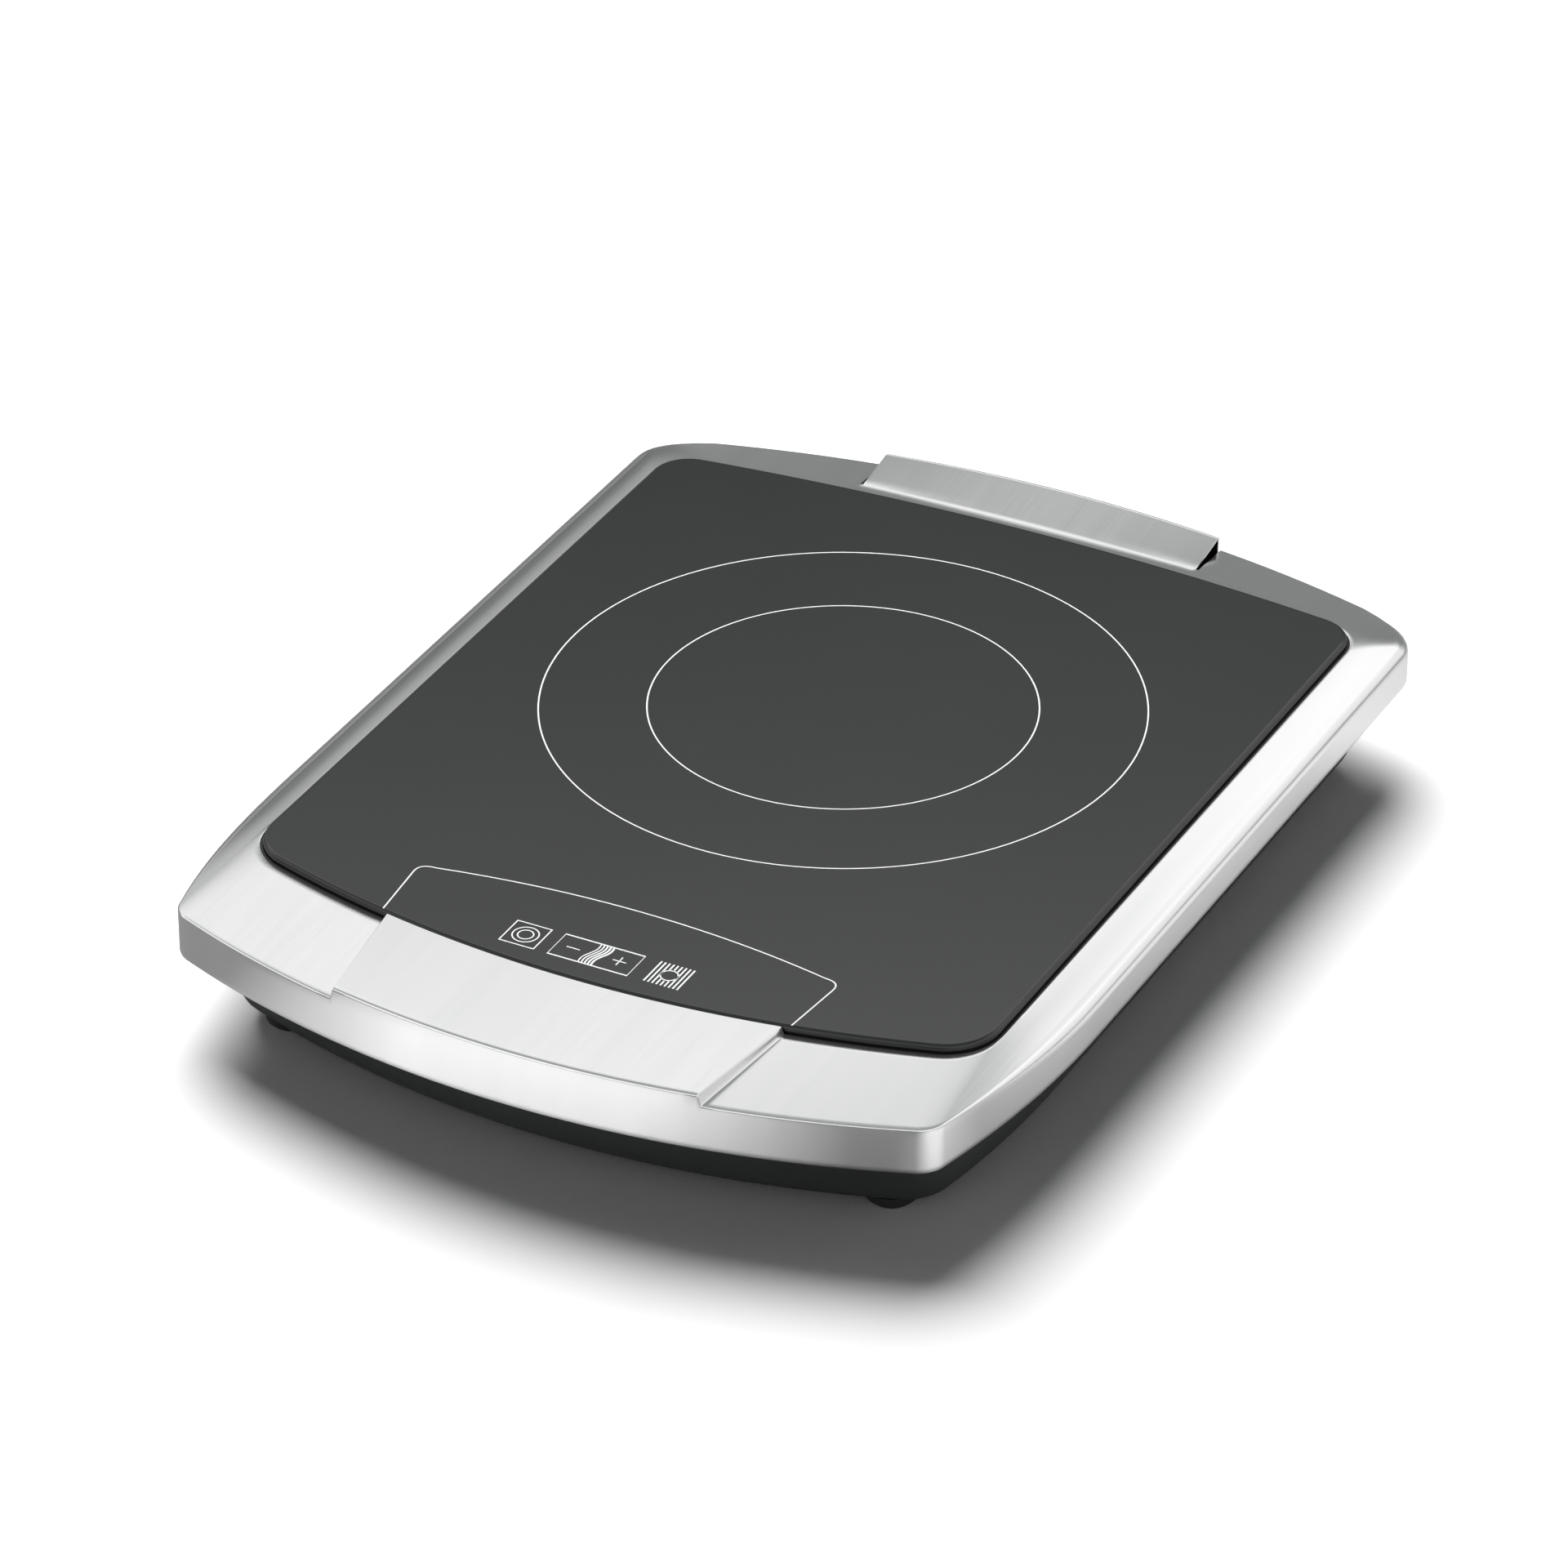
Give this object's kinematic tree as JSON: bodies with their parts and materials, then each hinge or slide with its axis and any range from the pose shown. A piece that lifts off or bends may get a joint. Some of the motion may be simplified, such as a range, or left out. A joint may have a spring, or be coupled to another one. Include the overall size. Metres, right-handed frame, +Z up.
{
  "type": "electric induction cooktop",
  "caption": "Flat countertop induction hob: black glass-ceramic plate in a bowed steel surround over a tapered black base, with fan and coil inside.",
  "frame": {"origin": "on the floor plane under the middle of the bounding box", "axes": "+X to the right of a person at the controls, +Y from the front to the rear, +Z up"},
  "size_m": [0.3208, 0.4306, 0.058],
  "materials": {
    "glass_ceramic": "polished black glass-ceramic with thin white printed lines",
    "seal": "satin black silicone bead",
    "steel": "fine brushed stainless sheet",
    "base_plastic": "fine grained black moulding",
    "foot_rubber": "matt black",
    "gland_rubber": "matt black",
    "screw_steel": "zinc plated",
    "spring_steel": "bright drawn wire",
    "circuit_board": "green solder mask over woven laminate",
    "heatsink_aluminium": "extruded",
    "shield_aluminium": "mill finish sheet",
    "component_epoxy": "moulded black epoxy",
    "capacitor_film": "dipped and boxed",
    "copper": "enamelled copper wire",
    "white_plastic": "heat-resistant moulding",
    "ferrite": "sintered, dark grey",
    "mica": "pressed mica sheet",
    "sensor_ceramic": "fired, unglazed",
    "fuse_glass": "clear tube with metal caps",
    "brown_wire": "insulated wire",
    "blue_wire": "insulated wire",
    "red_sleeve": "woven glass-fibre sleeve",
    "grey_ribbon": "flat cable"
  },
  "bodies": {
    "housing": {"glass_plate": "glass_ceramic", "glass_seal": "seal", "steel_frame": "steel", "base_tub": "base_plastic", "foot_1": "foot_rubber", "foot_2": "foot_rubber", "foot_3": "foot_rubber", "foot_4": "foot_rubber", "base_screw_1": "screw_steel", "base_screw_2": "screw_steel", "base_screw_3": "screw_steel", "base_screw_4": "screw_steel", "base_screw_5": "screw_steel", "base_screw_6": "screw_steel", "cable_gland": "gland_rubber", "terminal_block": "white_plastic", "live_lead": "brown_wire", "neutral_lead": "blue_wire", "power_board": "circuit_board", "board_screw_1": "screw_steel", "board_screw_2": "screw_steel", "board_screw_3": "screw_steel", "board_screw_4": "screw_steel", "heatsink": "heatsink_aluminium", "power_transistor": "component_epoxy", "bridge_rectifier": "component_epoxy", "fuse": "fuse_glass", "interference_capacitor": "capacitor_film", "filter_choke": "copper", "link_capacitor": "capacitor_film", "resonance_capacitor": "capacitor_film", "supply_transformer": "component_epoxy", "buzzer": "component_epoxy", "fan_frame": "base_plastic", "fan_stator": "copper", "coil_former": "white_plastic", "induction_coil": "copper", "ferrite_bar_1": "ferrite", "ferrite_bar_2": "ferrite", "ferrite_bar_3": "ferrite", "ferrite_bar_4": "ferrite", "ferrite_bar_5": "ferrite", "ferrite_bar_6": "ferrite", "insulation_sheet": "mica", "shield_plate": "shield_aluminium", "coil_lead_1": "red_sleeve", "coil_lead_2": "red_sleeve", "sensor_holder": "white_plastic", "sensor_spring": "spring_steel", "touch_carrier": "white_plastic", "touch_board": "circuit_board", "touch_spring_1": "spring_steel", "touch_spring_2": "spring_steel", "touch_spring_3": "spring_steel", "display_module": "white_plastic", "ribbon_cable": "grey_ribbon"},
    "fan": {"fan_rotor": "base_plastic"},
    "sensor": {"sensor_plunger": "sensor_ceramic"}
  },
  "joints": [
    {"name": "fan_spin", "type": "hinge", "parent": "housing", "child": "fan", "pos_m": [-0.072, 0.098, 0.0215], "axis": [0, 0, 1], "continuous": true},
    {"name": "sensor_press", "type": "slide", "parent": "housing", "child": "sensor", "axis": [0, 0, 1], "range_m": [-0.002, 0], "stiffness_N_per_m": 400, "springref_m": 0.0015, "deforming": ["sensor_spring"]}
  ]
}
